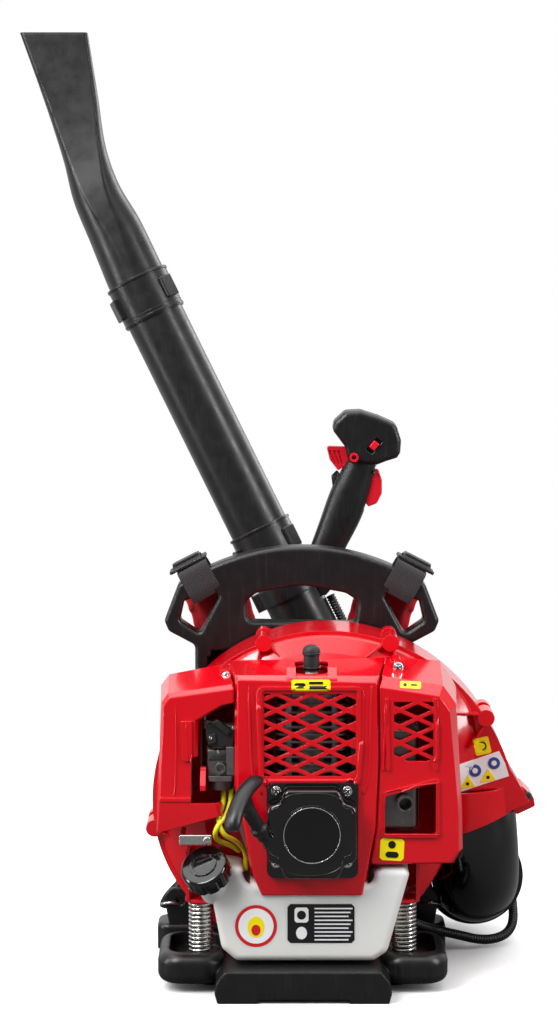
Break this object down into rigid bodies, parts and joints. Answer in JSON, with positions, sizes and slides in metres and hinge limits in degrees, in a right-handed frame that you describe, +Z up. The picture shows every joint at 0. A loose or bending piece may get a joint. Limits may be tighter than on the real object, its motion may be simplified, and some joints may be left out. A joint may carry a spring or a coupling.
{
  "type": "backpack leaf blower",
  "caption": "Two-stroke backpack blower: spiral fan housing and engine on a sprung back frame, with an elbow, flexible hose, hand control and flat nozzle.",
  "frame": {"origin": "on the ground under the middle of the backpack frame", "axes": "+Z up, -Y towards the engine covers, +Y towards the wearer's back, +X towards the air outlet"},
  "size_m": [0.5966, 0.5259, 1.059],
  "materials": {
    "red_plastic": "gloss moulded",
    "frame_plastic": "satin moulded, scuffed",
    "tube_plastic": "satin blown",
    "gloss_black_plastic": "gloss moulded",
    "tank_plastic": "translucent natural",
    "zinc_steel": "bright zinc",
    "chrome_steel": "bright",
    "dark_steel": "machined",
    "cast_aluminium": "die cast",
    "rubber_black": "matt",
    "webbing": "woven",
    "pad_fabric": "padded woven",
    "cushion_fabric": "padded mesh",
    "fuel_hose": "translucent yellow",
    "filter_foam": "open foam",
    "badge_plastic": "gloss",
    "control_red": "satin moulded"
  },
  "bodies": {
    "frame": {"back_frame": "frame_plastic", "base_tray": "frame_plastic", "frame_bolts": "dark_steel", "back_cushion": "cushion_fabric", "shoulder_pad_left": "pad_fabric", "shoulder_pad_right": "pad_fabric", "webbing_left": "webbing", "webbing_right": "webbing", "strap_sliders": "frame_plastic", "hook_tabs": "frame_plastic", "hook_rings": "zinc_steel"},
    "power_unit": {"isolator_springs": "zinc_steel", "rear_isolators": "rubber_black", "spring_brackets": "red_plastic", "fan_housing_front": "red_plastic", "fan_housing_rear": "red_plastic", "housing_screws": "dark_steel", "cover_screws": "chrome_steel", "engine_cover": "red_plastic", "muffler_cover": "red_plastic", "air_cleaner_cover": "red_plastic", "air_filter": "filter_foam", "carburettor": "cast_aluminium", "intake_manifold": "gloss_black_plastic", "crankcase": "cast_aluminium", "main_bearings": "dark_steel", "cylinder": "cast_aluminium", "spark_plug": "zinc_steel", "spark_plug_boot": "rubber_black", "muffler": "dark_steel", "ignition_coil": "dark_steel", "starter_housing": "gloss_black_plastic", "starter_badge": "badge_plastic", "starter_screws": "chrome_steel", "recoil_spring": "dark_steel", "fuel_tank": "tank_plastic", "fuel_lines": "fuel_hose", "line_clip": "zinc_steel", "outlet_elbow": "gloss_black_plastic", "conduit_lower": "tube_plastic"},
    "rotor": {"crankshaft": "dark_steel", "flywheel": "cast_aluminium", "fan_impeller": "gloss_black_plastic"},
    "piston": {"piston": "cast_aluminium"},
    "choke_lever": {"choke_lever": "control_red"},
    "recoil_pulley": {"recoil_pulley": "gloss_black_plastic"},
    "starter_handle": {"starter_grip": "frame_plastic", "starter_rope": "webbing"},
    "fuel_cap": {"fuel_cap": "gloss_black_plastic"},
    "hose_cuff": {"hose_clamp": "gloss_black_plastic"},
    "tube": {"bellows_hose": "rubber_black", "conduit_upper": "tube_plastic", "swivel_tube": "tube_plastic", "control_handle": "frame_plastic", "trigger_pin": "dark_steel"},
    "throttle_trigger": {"throttle_trigger": "control_red"},
    "cruise_lever": {"cruise_lever": "control_red"},
    "stop_switch": {"stop_switch": "control_red"},
    "straight_tube": {"straight_tube": "tube_plastic"},
    "nozzle": {"nozzle": "tube_plastic"}
  },
  "joints": [
    {"name": "isolator_float", "type": "slide", "parent": "frame", "child": "power_unit", "axis": [0, 0, 1], "range_m": [-0.003, 0.003], "stiffness_N_per_m": 24000, "springref_m": 0.0037, "deforming": ["isolator_springs", "rear_isolators"]},
    {"name": "crank_spin", "type": "hinge", "parent": "power_unit", "child": "rotor", "pos_m": [0.009, -0.05, 0.189], "axis": [0, 1, 0], "continuous": true},
    {"name": "piston_stroke", "type": "slide", "parent": "power_unit", "child": "piston", "axis": [0, 0, 1], "range_m": [-0.032, 0]},
    {"name": "choke_turn", "type": "hinge", "parent": "power_unit", "child": "choke_lever", "pos_m": [-0.107, -0.0965, 0.246], "axis": [1, 0, 0], "range_deg": [-60, 0]},
    {"name": "recoil_pull", "type": "slide", "parent": "power_unit", "child": "starter_handle", "axis": [-0.4197, -0.4297, 0.7995], "range_m": [0, 0.8], "stiffness_N_per_m": 6, "springref_m": -0.15, "deforming": ["starter_rope"]},
    {"name": "pulley_spin", "type": "hinge", "parent": "power_unit", "child": "recoil_pulley", "pos_m": [0.009, -0.12, 0.189], "axis": [0, 1, 0], "range_deg": [-5, 1800]},
    {"name": "fuel_cap_turn", "type": "hinge", "parent": "power_unit", "child": "fuel_cap", "pos_m": [-0.103, -0.108, 0.137], "axis": [-0.3008, -0.6115, 0.7318], "range_deg": [0, 450]},
    {"name": "hose_swivel", "type": "hinge", "parent": "power_unit", "child": "hose_cuff", "pos_m": [0.20014, 0.13, 0.07728], "axis": [0, 1, 0], "range_deg": [0, 45], "deforming": ["conduit_lower"]},
    {"name": "hose_bend", "type": "hinge", "parent": "hose_cuff", "child": "tube", "pos_m": [0.16, 0.215, 0.11], "axis": [1, 0, 0], "range_deg": [-80, 0], "deforming": ["bellows_hose", "conduit_upper"]},
    {"name": "throttle", "type": "hinge", "parent": "tube", "child": "throttle_trigger", "pos_m": [0.087, 0.24, 0.539], "axis": [0, 1, 0], "range_deg": [0, 14], "stiffness_Nm_per_rad": 0.25, "springref_deg": -17.19},
    {"name": "throttle_lock", "type": "hinge", "parent": "tube", "child": "cruise_lever", "pos_m": [0.0623, 0.24, 0.558], "axis": [0, 1, 0], "range_deg": [0, 26]},
    {"name": "stop_slide", "type": "slide", "parent": "tube", "child": "stop_switch", "axis": [0.6428, 0, 0.766], "range_m": [-0.004, 0]},
    {"name": "tube_twist", "type": "hinge", "parent": "tube", "child": "straight_tube", "pos_m": [-0.04025, 0.26027, 0.45038], "axis": [-0.4416, 0.0992, 0.8917], "range_deg": [-30, 0]},
    {"name": "nozzle_twist", "type": "hinge", "parent": "straight_tube", "child": "nozzle", "pos_m": [-0.18509, 0.29282, 0.74286], "axis": [-0.4416, 0.0992, 0.8917], "range_deg": [-90, 0]}
  ],
  "couplings": [
    {"joint": "pulley_spin", "follows": "recoil_pull", "rad_per_m": 37.037}
  ]
}
